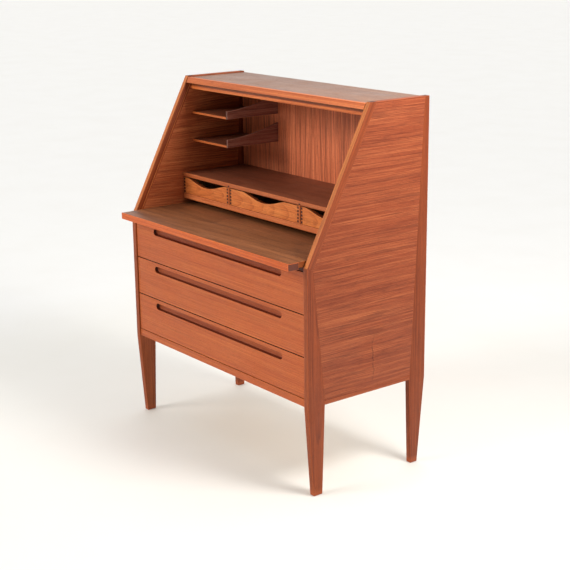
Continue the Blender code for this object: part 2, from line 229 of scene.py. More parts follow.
def buildTeakGrain():
    tree, given, put = newGroup(
        "teakGrain", "ShaderNodeTree",
        [("Place", vector, None), ("Heart Side", number, 0.0), ("Heart Depth", number, 0.2),
         ("Taper", number, 0.02), ("Ring Width", number, 0.006), ("Wander", number, 0.004),
         ("Leaf Width", number, 5.0), ("Pore Amount", number, 1.0), ("Streak Width", number, 0.012)],
        [("Tone", number), ("Streak", number), ("Pores", number), ("Fibre", number), ("Leaf", number)])
    along, across, deep = place(tree, "ShaderNodeSeparateXYZ", [(0, given["Place"])]).outputs
    mix, shares = grainMix, toneShares

    def field(name, *parts):
        return stretchedNoise(tree, parts, *grainNoise[name])

    leafNumber = calc(tree, "FLOOR", calc(tree, "DIVIDE", across, given["Leaf Width"]))
    leafShade = place(tree, "ShaderNodeTexWhiteNoise", [("W", leafNumber)], noise_dimensions="1D").outputs[0]
    matched = calc(tree, "PINGPONG", across, given["Leaf Width"])     # neighbouring leaves mirror each other
    sway = timesPlus(tree, centred(tree, field("drift", along, matched, deep)), mix["drift"],
                     times(tree, centred(tree, field("ripple", along, matched, deep)), mix["ripple"]))
    sway = times(tree, sway, given["Wander"])
    sideOfHeart = calc(tree, "ADD", calc(tree, "ADD", matched, sway), given["Heart Side"])
    depthOfHeart = timesPlus(tree, along, given["Taper"],
                             calc(tree, "ADD", calc(tree, "ADD", deep, sway), given["Heart Depth"]))
    radius = calc(tree, "SQRT", calc(tree, "ADD", times(tree, sideOfHeart, sideOfHeart),
                                     times(tree, depthOfHeart, depthOfHeart)))
    ring = calc(tree, "DIVIDE", radius, given["Ring Width"])
    slowRings = field("slowRings", ring, along, leafNumber)
    bentRing = timesPlus(tree, slowRings, mix["ringBend"], ring)
    lateWood = calc(tree, "POWER", calc(tree, "FRACT", bentRing), mix["lateWood"])
    fineAcross = times(tree, sideOfHeart, mix["fineness"])
    fineDeep = times(tree, calc(tree, "ADD", deep, sway), mix["fineness"])
    fibre = field("fibre", along, fineAcross, fineDeep)
    poreField = field("pores", along, fineAcross, fineDeep)
    bandAcross = calc(tree, "DIVIDE", sideOfHeart, given["Streak Width"])
    bandDeep = calc(tree, "DIVIDE", depthOfHeart, given["Streak Width"])
    broadStreak = field("broadStreak", along, bandAcross, bandDeep)
    thinStreak = field("thinStreak", along, bandAcross, bandDeep)
    streakField = timesPlus(tree, thinStreak, mix["thin"], times(tree, broadStreak, 1 - mix["thin"]))
    tone = timesPlus(tree, slowRings, shares["slowRings"],
                     times(tree, field("mottle", along, matched, deep), shares["mottle"]))
    tone = timesPlus(tree, fibre, shares["fibre"], tone)
    tone = timesPlus(tree, field("fleck", along, fineAcross, fineDeep), shares["fleck"], tone)
    tone = timesPlus(tree, lateWood, shares["lateWood"], tone)
    tree.links.new(spread(tree, tone, *grainSpans["tone"]), put["Tone"])
    tree.links.new(spread(tree, streakField, *grainSpans["streak"]), put["Streak"])
    pores = spread(tree, poreField, *grainSpans["pores"])
    tree.links.new(times(tree, pores, given["Pore Amount"]), put["Pores"])
    tree.links.new(fibre, put["Fibre"])
    tree.links.new(leafShade, put["Leaf"])
    return tree


faceMarks = ("arris", "endGrain", "paintedFaceLight")      # what each face of a mesh carries: eased arris, end grain, and painted light or shade on the face


def buildEdgeWearAndPaintedLight():
    tree, given, put = newGroup(
        "edgeWearAndPaintedLight", "ShaderNodeTree",
        [("Place", vector, None), ("Cover", number, 0.6), ("Fleck Size", number, 0.02)],
        [("Worn", number), ("End Grain", number), ("Painted Face Light", number)])
    arris, ends, lift = (place(tree, "ShaderNodeAttribute", attribute_name=name,
                               attribute_type="GEOMETRY").outputs["Fac"] for name in faceMarks)
    fleck = noiseAt(tree, given["Place"], 3.0, 0.6, calc(tree, "DIVIDE", 1.0, given["Fleck Size"]))
    low = calc(tree, "SUBTRACT", 0.80, given["Cover"])
    rubbed = spread(tree, fleck, low, calc(tree, "ADD", low, 0.25), 0.25, 1.0)
    tree.links.new(times(tree, arris, rubbed), put["Worn"])
    tree.links.new(ends, put["End Grain"])
    # the third output passes on painted light and shade: faces made paler or darker for how light falls on
    # them
    tree.links.new(lift, put["Painted Face Light"])
    return tree


def buildHandling():
    tree, given, put = newGroup(
        "handling", "ShaderNodeTree",
        [("Place", vector, None), ("Patch Size", number, 0.12), ("Scratch Amount", number, 0.4)],
        [("Smudge", number), ("Scratch", number)])
    smudge = noiseAt(tree, given["Place"], 4.0, 0.62, calc(tree, "DIVIDE", 1.0, given["Patch Size"]))
    stretch = place(tree, "ShaderNodeMapping", [("Vector", given["Place"]), ("Rotation", (0.3, 0.2, 0.5)),
                                                ("Scale", (6.0, 420.0, 420.0))]).outputs[0]
    lines = noiseAt(tree, stretch, 1.0, 0.5)
    patches = noiseAt(tree, given["Place"], 2.0, 0.5, 9.0)
    scratch = times(tree, spread(tree, lines, 0.70, 0.76), spread(tree, patches, 0.52, 0.62))
    tree.links.new(spread(tree, smudge, 0.3, 0.7), put["Smudge"])
    tree.links.new(times(tree, scratch, given["Scratch Amount"]), put["Scratch"])
    return tree


def buildKnotMark():
    tree, given, put = newGroup(
        "knotMark", "ShaderNodeTree",
        [("Across", number, 0.0), ("Up", number, 0.0), ("Centre", number, 0.0), ("Low", number, 0.0),
         ("High", number, 0.1), ("Width", number, 0.004)],
        [("Dark", number), ("Pale", number)])
    wiggle = stretchedNoise(tree, (given["Up"], 0.0, 0.0), (26.0, 1, 1), 3.0, 0.6)
    middle = timesPlus(tree, centred(tree, wiggle), 0.034, given["Centre"])
    away = calc(tree, "SUBTRACT", given["Across"], middle)
    height = calc(tree, "DIVIDE", calc(tree, "SUBTRACT", given["Up"], given["Low"]),
                  calc(tree, "SUBTRACT", given["High"], given["Low"]), clamp=True)
    swell = calc(tree, "SINE", times(tree, height, math.pi))
    reach = calc(tree, "ADD", times(tree, swell, given["Width"]), 0.0001)
    near = calc(tree, "DIVIDE", calc(tree, "ABSOLUTE", away), reach)
    dark = times(tree, spread(tree, near, 1.0, 0.2), spread(tree, swell, 0.02, 0.25))
    breaks = stretchedNoise(tree, (given["Up"], given["Across"], 0.0), (60.0, 90.0, 1), 2.0, 0.5)
    dark = times(tree, dark, spread(tree, breaks, 0.36, 0.52))
    pale = calc(tree, "ABSOLUTE", calc(tree, "SUBTRACT", away, times(tree, given["Width"], 2.6)))
    pale = times(tree, spread(tree, calc(tree, "DIVIDE", pale, reach), 1.8, 0.3), swell)
    tree.links.new(dark, put["Dark"])
    tree.links.new(pale, put["Pale"])
    return tree


teakGrain = buildTeakGrain()
edgeWearAndPaintedLight = buildEdgeWearAndPaintedLight()
handling = buildHandling()
knotMark = buildKnotMark()
print("shader groups built")


def paint(red, green, blue):      # 0 to 255 as shown on a screen, to linear light
    parts = (part / 255 for part in (red, green, blue))
    return (*((part / 12.92) if part < 0.04 else ((part + 0.055) / 1.055) ** 2.4 for part in parts), 1.0)


plainCut = {"side": 0.0, "depth": 0.20, "taper": 0.015, "wander": 0.003, "ring": 0.004, "leaf": 5.0,
            "leafShade": 0.0, "gloss": 0.35}


def cut(dark, middle, light, streak, **rest):      # four colours and what differs from plainCut
    colours = {"dark": dark, "middle": middle, "light": light, "streak": streak}
    return {**plainCut, **{name: paint(*colour) for name, colour in colours.items()}, **rest}


looks = {
    "sideVeneer": cut((109, 44, 19), (143, 65, 34), (179, 98, 57), (87, 31, 14), streaks=0.5,
                      streakWidth=0.014, ring=0.0036, wander=0.0045, side=0.3, depth=0.45, taper=0.03,
                      leaf=0.31, leafShade=0.05, rough=0.5, gloss=0.26),
    # painted light: a greyer copy of sideVeneer, standing in for the neutral light inside the case
    "trayVeneer": cut((105, 59, 45), (144, 90, 72), (174, 125, 109), (83, 43, 34), streaks=0.6,
                      streakWidth=0.014, ring=0.0036, wander=0.0045, side=0.3, depth=0.45, taper=0.03,
                      leaf=0.31, leafShade=0.05, rough=0.5, gloss=0.26),
    "frontVeneer": cut((153, 68, 28), (179, 86, 39), (195, 108, 52), (120, 47, 21), streaks=0.34,
                       streakWidth=0.009, ring=0.0032, side=0.12, depth=0.3, rough=0.46, gloss=0.28),
    "solidBrown": cut((99, 41, 16), (129, 56, 24), (154, 74, 35), (79, 30, 12), streaks=0.45,
                      streakWidth=0.006, wander=0.0025, taper=0.01, rough=0.46, gloss=0.26),
    "solidBright": cut((152, 67, 26), (189, 94, 41), (214, 122, 61), (136, 55, 24), streaks=0.35,
                       streakWidth=0.005, wander=0.0015, taper=0.008, rough=0.44),
    # painted light: a paler, less saturated copy of solidBright, standing in for the neutral light inside the
    # case
    "cabinetEdgingPaintedLight": cut((149, 69, 33), (186, 98, 52), (210, 128, 76), (133, 57, 31), streaks=0.35,
                         streakWidth=0.005, wander=0.0015, taper=0.008, rough=0.44),
    "flapEdging": cut((157, 62, 16), (195, 87, 27), (221, 113, 42), (141, 50, 14), streaks=0.35,
                      streakWidth=0.005, wander=0.0015, taper=0.008, rough=0.44),
    "smallFront": cut((173, 86, 39), (217, 118, 56), (240, 149, 77), (149, 70, 35), streaks=0.35,
                      streakWidth=0.006, ring=0.0042, wander=0.004, depth=0.06, taper=0.07, rough=0.48),
    "backVeneer": cut((160, 74, 44), (215, 114, 71), (253, 149, 98), (115, 52, 33), streaks=0.75,
                      streakWidth=0.009, side=0.16, depth=0.5, taper=0.012, leaf=0.145, leafShade=0.1,
                      rough=0.52),
    "writingVeneer": cut((90, 51, 29), (125, 75, 41), (154, 96, 57), (66, 36, 19), streaks=0.6,
                         streakWidth=0.012, ring=0.005, wander=0.004, depth=0.3, leaf=0.215,
                         leafShade=0.05, rough=0.42, gloss=0.5),
    "topVeneer": cut((99, 53, 27), (127, 77, 43), (151, 98, 59), (79, 40, 19), streaks=0.5,
                     streakWidth=0.01, ring=0.005, depth=0.3, leaf=0.2, leafShade=0.05, rough=0.36,
                     gloss=0.6),
    "shelfVeneer": cut((95, 46, 30), (127, 67, 43), (150, 87, 57), (74, 35, 23), streaks=0.55,
                       streakWidth=0.01, ring=0.005, depth=0.3, leaf=0.125, leafShade=0.06, rough=0.46,
                       gloss=0.4),
    "drawerWood": cut((182, 138, 92), (206, 166, 116), (222, 188, 140), (160, 116, 76), streaks=0.25,
                      streakWidth=0.008, wander=0.002, depth=0.08, taper=0.012, rough=0.62, gloss=0.3),
}


def grainTurn(along, across):
    deep = along.cross(across)
    return Matrix((along, across, deep)).to_euler()


endGrain = {"colour": paint(60, 33, 30), "cover": 0.88}


def newMaterial(name):
    material = bpy.data.materials.new(name)
    material.use_nodes = True
    tree = material.node_tree
    where = place(tree, "ShaderNodeTexCoord").outputs["Object"]
    return material, tree, tree.nodes["Principled BSDF"].inputs, where


def useGroup(tree, group, where, values=()):
    return place(tree, "ShaderNodeGroup", [("Place", where), *values], node_tree=group).outputs


surface = {
    "pores": 0.45, "poreShade": 0.45, "smudge": 0.07, "paintedLightPaling": 0.46,
    "knotPale": 0.10, "knotDark": 0.70, "knotShade": 0.5, "wornShade": 1.25,
    "tipWear": 0.6, "tipSolid": 0.3, "tipRagged": -0.6,      # the last two in shares of the tip's height
    "smudgeRough": 0.12, "poreRough": 0.15, "scratchRough": 0.20, "endRough": 0.12,
    "poreRelief": -0.8, "fibreRelief": 0.35, "scratchRelief": -0.5, "bump": 0.35, "bumpDepth": 0.0003,
}
grainInputs = {"Heart Side": "side", "Heart Depth": "depth", "Taper": "taper", "Ring Width": "ring",
               "Wander": "wander", "Leaf Width": "leaf", "Streak Width": "streakWidth"}


def shaded(colour, share):
    return (*(min(1.0, share * part) for part in colour[:3]), 1.0)


def addBump(tree, shader, height, strength, distance):
    bump = place(tree, "ShaderNodeBump", [("Height", height), ("Strength", strength), ("Distance", distance)])
    tree.links.new(bump.outputs[0], shader["Normal"])


def woodFinish(name, look, along, across, shift=(0, 0, 0), shade=1.0, knot=None, wear=0.5, tip=0.0,
               band=None):
    values = looks[look]
    material, tree, shader, where = newMaterial(name)
    shader["Specular IOR Level"].default_value = values["gloss"]
    laid = place(tree, "ShaderNodeMapping", [("Vector", where), ("Rotation", grainTurn(along, across)),
                                             ("Location", shift)]).outputs[0]
    grain = useGroup(tree, teakGrain, laid, [(label, values[key]) for label, key in grainInputs.items()])
    edges = useGroup(tree, edgeWearAndPaintedLight, where)
    use = useGroup(tree, handling, laid)
    tones = place(tree, "ShaderNodeValToRGB", [("Fac", grain["Tone"])])
    stops = tones.color_ramp.elements
    stops[0].position, stops[0].color = 0.05, values["dark"]
    stops[1].position, stops[1].color = 0.95, values["light"]
    stops.new(0.5).color = values["middle"]
    shown = blendColour(tree, times(tree, grain["Streak"], values["streaks"]), tones.outputs["Color"],
                        values["streak"])
    shown = blendColour(tree, times(tree, grain["Pores"], surface["pores"]), shown,
                        shaded(values["streak"], surface["poreShade"]))
    lift = spread(tree, grain["Leaf"], 0.0, 1.0, shade * (1 - values["leafShade"]),
                  shade * (1 + values["leafShade"]))
    lift = timesPlus(tree, centred(tree, use["Smudge"]), surface["smudge"], lift)
    # leaf tone and smudges are the wood's own; painted light and shade then brighten or darken each face, and
    # lighter faces are paled as a painted sheen
    lift = times(tree, lift, calc(tree, "ADD", edges["Painted Face Light"], 1.0))
    pale = times(tree, lift, timesPlus(tree, edges["Painted Face Light"], surface["paintedLightPaling"], 1.0))
    shown = blendColour(tree, 1.0, shown, joinXyz(tree, lift, pale, pale), "MULTIPLY")
    _, side, height = place(tree, "ShaderNodeSeparateXYZ", [(0, where)]).outputs
    if knot:
        mark = place(tree, "ShaderNodeGroup", [("Across", side), ("Up", height), *knot.items()],
                     node_tree=knotMark).outputs
        shown = blendColour(tree, times(tree, mark["Pale"], surface["knotPale"]), shown, values["light"])
        shown = blendColour(tree, times(tree, mark["Dark"], surface["knotDark"]), shown,
                            shaded(values["streak"], surface["knotShade"]))
    if band:      # painted shadow: darker above the first height, fully so from the second up
        fade = spread(tree, height, band[0], band[1], 1.0, band[2])
        shown = blendColour(tree, 1.0, shown, joinXyz(tree, fade, fade, fade), "MULTIPLY")
    shown = blendColour(tree, times(tree, edges["End Grain"], endGrain["cover"]), shown, endGrain["colour"])
    worn = times(tree, edges["Worn"], wear)
    if tip:      # feet rubbed pale near the floor
        ragged = timesPlus(tree, grain["Fibre"], surface["tipRagged"] * tip, height)
        rubbed = spread(tree, ragged, tip, surface["tipSolid"] * tip, 0.0, surface["tipWear"])
        worn = calc(tree, "MAXIMUM", worn, rubbed)
    shown = blendColour(tree, worn, shown, shaded(values["light"], surface["wornShade"]))
    tree.links.new(shown, shader["Base Color"])
    rough = values["rough"] - surface["smudgeRough"] / 2
    rough = timesPlus(tree, use["Smudge"], surface["smudgeRough"], rough)
    rough = timesPlus(tree, grain["Pores"], surface["poreRough"], rough)
    rough = timesPlus(tree, use["Scratch"], surface["scratchRough"], rough)
    rough = timesPlus(tree, edges["End Grain"], surface["endRough"], rough, clamp=True)
    tree.links.new(rough, shader["Roughness"])
    relief = timesPlus(tree, grain["Pores"], surface["poreRelief"],
                       times(tree, grain["Fibre"], surface["fibreRelief"]))
    relief = timesPlus(tree, use["Scratch"], surface["scratchRelief"], relief)
    addBump(tree, shader, relief, surface["bump"], surface["bumpDepth"])
    return material


metals = {
    "brass": {"base": paint(186, 148, 84), "tarnish": paint(112, 84, 50), "rough": 0.34},
    "steel": {"base": paint(150, 148, 142), "tarnish": paint(82, 76, 70), "rough": 0.42},
}
metalWear = {"patch": 0.004, "fleck": 0.003, "tarnish": 0.6, "polish": 0.5, "roughen": 0.22, "bump": 0.15,
             "bumpDepth": 0.0002}


def metalFinish(name, kind):
    values = metals[kind]
    material, tree, shader, where = newMaterial(name)
    shader["Metallic"].default_value = 1.0
    use = useGroup(tree, handling, where, [("Patch Size", metalWear["patch"])])
    edges = useGroup(tree, edgeWearAndPaintedLight, where, [("Fleck Size", metalWear["fleck"])])
    shown = blendColour(tree, times(tree, use["Smudge"], metalWear["tarnish"]), values["base"],
                        values["tarnish"])
    shown = blendColour(tree, times(tree, edges["Worn"], metalWear["polish"]), shown, values["base"])
    tree.links.new(shown, shader["Base Color"])
    tree.links.new(timesPlus(tree, use["Smudge"], metalWear["roughen"], values["rough"]), shader["Roughness"])
    addBump(tree, shader, use["Smudge"], metalWear["bump"], metalWear["bumpDepth"])
    return material


neighbours = {name: BVHTree.FromPolygons([v.co for v in item.data.vertices],
                                         [p.vertices for p in item.data.polygons])
              for name, item in frame["nodes"].items()}
bodyOf = {node: body for body, members in frame["record"]["behaviour"]["bodies"].items() for node in members}
copying = {"weld": 0.000005, "flat": 0.6}      # metres, degrees


def boxOf(node):
    low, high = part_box(node)
    return Vector(low), Vector(high)


def camel(*words):
    first, *rest = "_".join(words).split("_")
    return first + "".join(word.capitalize() for word in rest)


def boxMesh(low, high):
    shape = bmesh.new()
    bmesh.ops.create_cube(shape, size=1.0)
    for corner in shape.verts:
        corner.co = Vector((high[i] if corner.co[i] > 0 else low[i]) for i in range(3))
    return shape


def boardOf(node):
    return boxMesh(*boxOf(node))


def copyOf(node):      # the part's own solid with its flat faces whole again
    shape = bmesh.new()
    shape.from_mesh(frame["nodes"][node].data)
    bmesh.ops.remove_doubles(shape, verts=shape.verts, dist=copying["weld"])
    bmesh.ops.dissolve_limit(shape, angle_limit=math.radians(copying["flat"]), verts=shape.verts,
                             edges=shape.edges)
    return shape


def outlineMesh(outline, axis, low, high):      # outline points are the two axes that are not axis, in order
    turn = {"x": lambda u, v, w: (w, u, v), "y": lambda u, v, w: (u, w, v)}[axis]
    shape = bmesh.new()
    rings = [[shape.verts.new(turn(u, v, level)) for u, v in outline] for level in (low, high)]
    shape.faces.new(rings[0])
    shape.faces.new(rings[1])
    for first, second, third, fourth in zip(rings[0], rings[0][1:] + rings[0][:1],
                                            rings[1][1:] + rings[1][:1], rings[1]):
        shape.faces.new((first, second, third, fourth))
    bmesh.ops.recalc_face_normals(shape, faces=shape.faces)
    return shape


def newPiece(name, shape):
    mesh = bpy.data.meshes.new(name)
    shape.normal_update()
    shape.to_mesh(mesh)
    shape.free()
    item = bpy.data.objects.new(name, mesh)
    scene.collection.objects.link(item)
    return item


def settle(item):      # live modifiers become a plain mesh
    graph = bpy.context.evaluated_depsgraph_get()
    done = bpy.data.meshes.new_from_object(item.evaluated_get(graph), preserve_all_data_layers=True,
                                           depsgraph=graph)
    item.modifiers.clear()
    item.data = done
    return item


easing = {"free": 0.0011, "seam": 0.00025, "touch": 0.0008, "segments": 3, "sharp": 28}


def easeEdges(item, node, free, seam=easing["seam"], sharp=easing["sharp"]):
    mesh = item.data
    shape = bmesh.new()
    shape.from_mesh(mesh)
    weights = shape.edges.layers.float.new("bevel_weight_edge")
    others = [tree for name, tree in neighbours.items() if name != node and bodyOf[name] == bodyOf[node]]
    widest = max(free, seam)
    for edge in shape.edges:
        if len(edge.link_faces) != 2 or edge.calc_face_angle(0.0) < math.radians(sharp):
            continue
        middle = (edge.verts[0].co + edge.verts[1].co) / 2
        touching = any(tree.find_nearest(middle, easing["touch"])[0] is not None for tree in others)
        edge[weights] = (seam if touching else free) / widest
    shape.to_mesh(mesh)
    shape.free()
    mesh.materials.clear()
    for _ in range(2):
        mesh.materials.append(None)
    mesh.shade_smooth()
    ease = item.modifiers.new("eased arris", "BEVEL")
    ease.limit_method = "WEIGHT"
    ease.width = widest
    ease.segments = easing["segments"]
    ease.material = 1
    ease.harden_normals = True
    ease.use_clamp_overlap = True
    return settle(item)


def markFaces(item, along, lifts=()):      # per face: eased arris, end grain, and painted light or shade that makes the face paler or darker
    mesh = item.data
    arris, ends, lift = (mesh.attributes.get(name) or mesh.attributes.new(name, "FLOAT", "FACE")
                         for name in faceMarks)
    for face in mesh.polygons:
        eased = face.material_index == 1
        arris.data[face.index].value = 1.0 if eased else 0.0
        ends.data[face.index].value = 1.0 if abs(face.normal.dot(along)) > 0.8 and not eased else 0.0
        lift.data[face.index].value = sum(amount for facing, amount in lifts if face.normal.dot(facing) > 0.8)
        face.material_index = 0


def finishPiece(item, material, along, body, nodes=(), lifts=()):
    markFaces(item, along, lifts)
    item.data.materials.clear()
    item.data.materials.append(material)
    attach(item, body)
    if nodes:
        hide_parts(*nodes)
    return item


def woodPiece(name, shape, node, finish, along, free=easing["free"], seam=easing["seam"],
              lifts=(), stands=True):      # stands: it takes the place of the solid that it follows
    item = easeEdges(newPiece(name, shape), node, free, seam)
    return finishPiece(item, finish, along, bodyOf[node], (node,) if stands else (), lifts)


# geometry node trees for what repeats
def newTree(name, inputs):
    return newGroup(name, "GeometryNodeTree", inputs, [("Geometry", "NodeSocketGeometry")])


def splitPosition(tree):
    position = place(tree, "GeometryNodeInputPosition").outputs[0]
    return place(tree, "ShaderNodeSeparateXYZ", [(0, position)]).outputs


def finishTree(tree, geometry, given, put):
    real = place(tree, "GeometryNodeRealizeInstances", [(0, geometry)]).outputs[0]
    dressed = place(tree, "GeometryNodeSetMaterial", [("Geometry", real), ("Material", given["Material"])])
    tree.links.new(dressed.outputs[0], put[0])
    return tree


def buildScrewRow():      # slotted countersunk heads in a line along X, facing +Z
    tree, given, put = newTree("screwRow", [
        ("Count", "NodeSocketInt", 5), ("Spacing", number, 0.1), ("Head Radius", number, 0.0035),
        ("Head Height", number, 0.0012), ("Slot Width", number, 0.0009), ("Seed", "NodeSocketInt", 1),
        ("Material", "NodeSocketMaterial", None)])
    dome = place(tree, "GeometryNodeMeshCone", [("Vertices", 20), ("Side Segments", 1),
                                                ("Radius Top", times(tree, given["Head Radius"], 0.78)),
                                                ("Radius Bottom", given["Head Radius"]),
                                                ("Depth", given["Head Height"])]).outputs[0]
    slotSize = joinXyz(tree, times(tree, given["Head Radius"], 2.4), given["Slot Width"],
                       given["Head Height"])
    groove = place(tree, "GeometryNodeMeshCube", [("Size", slotSize)]).outputs[0]
    groove = place(tree, "GeometryNodeTransform", [
        ("Geometry", groove), ("Translation", joinXyz(tree, 0.0, 0.0, given["Head Height"]))]).outputs[0]
    head = place(tree, "GeometryNodeMeshBoolean", [("Mesh 1", dome), ("Mesh 2", groove)],
                 operation="DIFFERENCE").outputs[0]
    line = place(tree, "GeometryNodeMeshLine", [
        ("Count", given["Count"]), ("Offset", joinXyz(tree, given["Spacing"], 0.0, 0.0))]).outputs[0]
    angle = place(tree, "FunctionNodeRandomValue", [("Seed", given["Seed"])], data_type="FLOAT")
    angle.inputs[3].default_value = math.pi
    turn = place(tree, "FunctionNodeEulerToRotation", [(0, joinXyz(tree, 0.0, 0.0, angle.outputs[1]))])
    row = place(tree, "GeometryNodeInstanceOnPoints", [
        ("Points", line), ("Instance", head), ("Rotation", turn.outputs[0])]).outputs[0]
    return finishTree(tree, row, given, put)


def buildDovetailRow():      # wedges in a line along Z, each running along X and wider at its far end
    tree, given, put = newTree("dovetailRow", [
        ("Count", "NodeSocketInt", 5), ("Spacing", number, 0.012), ("Length", number, 0.012),
        ("Thickness", number, 0.007), ("Narrow", number, 0.004), ("Wide", number, 0.007),
        ("Material", "NodeSocketMaterial", None)])
    wedge = place(tree, "GeometryNodeMeshCube", [
        ("Size", joinXyz(tree, given["Length"], given["Thickness"], given["Narrow"]))]).outputs[0]
    spot = splitPosition(tree)
    share = calc(tree, "ADD", calc(tree, "DIVIDE", spot[0], given["Length"]), 0.5)
    growth = calc(tree, "SUBTRACT", calc(tree, "DIVIDE", given["Wide"], given["Narrow"]), 1.0)
    flare = timesPlus(tree, share, growth, 1.0)
    wedge = place(tree, "GeometryNodeSetPosition", [
        ("Geometry", wedge),
        ("Position", joinXyz(tree, spot[0], spot[1], times(tree, spot[2], flare)))]).outputs[0]
    line = place(tree, "GeometryNodeMeshLine", [
        ("Count", given["Count"]), ("Offset", joinXyz(tree, 0.0, 0.0, given["Spacing"]))]).outputs[0]
    row = place(tree, "GeometryNodeInstanceOnPoints", [("Points", line), ("Instance", wedge)]).outputs[0]
    return finishTree(tree, row, given, put)


def buildTrayWedge():      # upright strip along Y whose top rises in a hollow curve
    tree, given, put = newTree("trayWedge", [
        ("Length", number, 0.2), ("Thickness", number, 0.006), ("Front Height", number, 0.025),
        ("Rear Height", number, 0.062), ("Hollow", number, 1.6), ("Steps", "NodeSocketInt", 24),
        ("Material", "NodeSocketMaterial", None)])
    strip = place(tree, "GeometryNodeMeshCube", [
        ("Size", joinXyz(tree, given["Thickness"], given["Length"], 1.0)), ("Vertices X", 2),
        ("Vertices Y", given["Steps"]), ("Vertices Z", 2)]).outputs[0]
    spot = splitPosition(tree)
    share = calc(tree, "ADD", calc(tree, "DIVIDE", spot[1], given["Length"]), 0.5, clamp=True)
    rise = times(tree, calc(tree, "POWER", share, given["Hollow"]),
                 calc(tree, "SUBTRACT", given["Rear Height"], given["Front Height"]))
    top = times(tree, calc(tree, "ADD", rise, given["Front Height"]), calc(tree, "ADD", spot[2], 0.5))
    strip = place(tree, "GeometryNodeSetPosition", [
        ("Geometry", strip), ("Position", joinXyz(tree, spot[0], spot[1], top))]).outputs[0]
    return finishTree(tree, strip, given, put)


screwRow = buildScrewRow()
dovetailRow = buildDovetailRow()
trayWedge = buildTrayWedge()


def growMesh(tree, values):      # one run of a tree, as a mesh that nothing uses yet
    item = newPiece("run", bmesh.new())
    run = item.modifiers.new("run", "NODES")
    run.node_group = tree
    for socket in tree.interface.items_tree:
        if socket.in_out == "INPUT" and socket.name in values:
            run[socket.identifier] = values[socket.name]
    mesh = settle(item).data
    bpy.data.objects.remove(item)
    return mesh


def joinRuns(name, runs):      # runs are (tree, values, matrix)
    shape = bmesh.new()
    for tree, values, matrix in runs:
        mesh = growMesh(tree, values)
        mesh.transform(matrix)
        if matrix.determinant() < 0:
            mesh.flip_normals()
        shape.from_mesh(mesh)
        bpy.data.meshes.remove(mesh)
    for face in shape.faces:
        face.material_index = 0
    return newPiece(name, shape)


def turned(origin, first, second, third):      # places local X, Y, Z along three directions
    matrix = Matrix((first, second, third)).transposed().to_4x4()
    return Matrix.Translation(origin) @ matrix


screws = {"Head Radius": 0.0034, "Head Height": 0.0011, "Slot Width": 0.0008}


def screwLine(first, last, count, facing, seed):
    run = last - first
    ahead = run.normalized()
    values = dict(screws, Count=count, Spacing=run.length / (count - 1), Seed=seed, Material=screwSteel)
    return screwRow, values, turned(first, ahead, facing.cross(ahead), facing)


screwSteel = metalFinish("screwSteel", "steel")
print("geometry trees and helpers ready")

sideParts = {
    "front_leg": {"look": "solidBrown", "free": 0.0014, "slot": "solid_teak", "along": upwards},
    "slant_stile": {"look": "solidBrown", "free": 0.0012, "slot": "solid_teak"},
    "side_panel": {"look": "sideVeneer", "free": 0.0008, "slot": "teak_veneer", "along": backwards},
    "side_rail": {"look": "sideVeneer", "free": 0.0008, "slot": "teak_veneer", "along": backwards},
    "rear_leg": {"look": "solidBrown", "free": 0.0014, "slot": "solid_teak", "along": upwards},
}
# painted light: the slanted front faces are painted paler as sheen, the leg fronts and the inner faces of
# legs and panels painted lighter
sidePaintedLights = {"slantOut": 1.15, "legFront": 0.18, "legInner": 0.45, "panelInner": 0.36}
sideMark = {"Centre": 0.042, "Low": 0.285, "High": 0.455, "Width": 0.0022}
footTip = 0.016
kink, slantTop = Vector((0, -0.198, 0.672)), Vector((0, 0.025, 1.102))
slantWay = (slantTop - kink).normalized()
slantOut = Vector((0, -slantWay.z, slantWay.y))


def makeSide(hand, sign):
    inner = -sideways * sign
    lifts = {"slant_stile": ((slantOut, sidePaintedLights["slantOut"]),),
             "front_leg": ((-backwards, sidePaintedLights["legFront"]), (inner, sidePaintedLights["legInner"])),
             "side_panel": ((inner, sidePaintedLights["panelInner"]),)}
    for label, values in sideParts.items():
        node = f"{label}_{hand}"
        along = values.get("along", slantWay)
        shift = (0.37 * sign, 0.05 + 0.11 * sign, 0.02 * len(camel(label)))
        finish = woodFinish(camel(node), values["look"], along, along.cross(sideways), shift,
                            knot=sideMark if label == "side_panel" and sign > 0 else None,
                            tip=footTip if label.endswith("leg") else 0.0)
        woodPiece(camel(node), copyOf(node), node, finish, along, values["free"],
                  lifts=lifts.get(label, ()))


for hand, sign in (("left", -1), ("right", 1)):
    makeSide(hand, sign)
print("sides made")

top = {"arris": 0.0012, "lipArris": 0.0009, "litEdge": 0.0085, "litFade": 0.003, "railLift": 1.15,
       "railShade": 0.42}


def makeTop():
    finish = woodFinish("topBoard", "topVeneer", sideways, backwards, (0.1, 0.02, 0))
    woodPiece("topBoard", boardOf("top_board"), "top_board", finish, sideways, top["arris"])
    finish = woodFinish("topLipping", "solidBright", sideways, slantWay.cross(sideways), (0.4, 0.03, 0))
    woodPiece("topLipping", copyOf("top_lipping"), "top_lipping", finish, sideways, free=top["lipArris"])
    # painted light and shadow on the stop rail: lightened overall, and painted dark above its lit lower edge
    # as the lipping's shadow
    lit = boxOf("flap_stop_rail")[0].z + top["litEdge"]
    finish = woodFinish("stopRail", "solidBright", sideways, upwards, (0.7, 0.01, 0.02), top["railLift"],
                        band=(lit, lit + top["litFade"], top["railShade"]))
    woodPiece("stopRail", copyOf("flap_stop_rail"), "flap_stop_rail", finish, sideways, free=top["arris"])


back = {"arris": 0.0005, "screwsAcross": 9, "screwsUp": 11, "screwInset": 0.012, "screwSink": 0.0001}


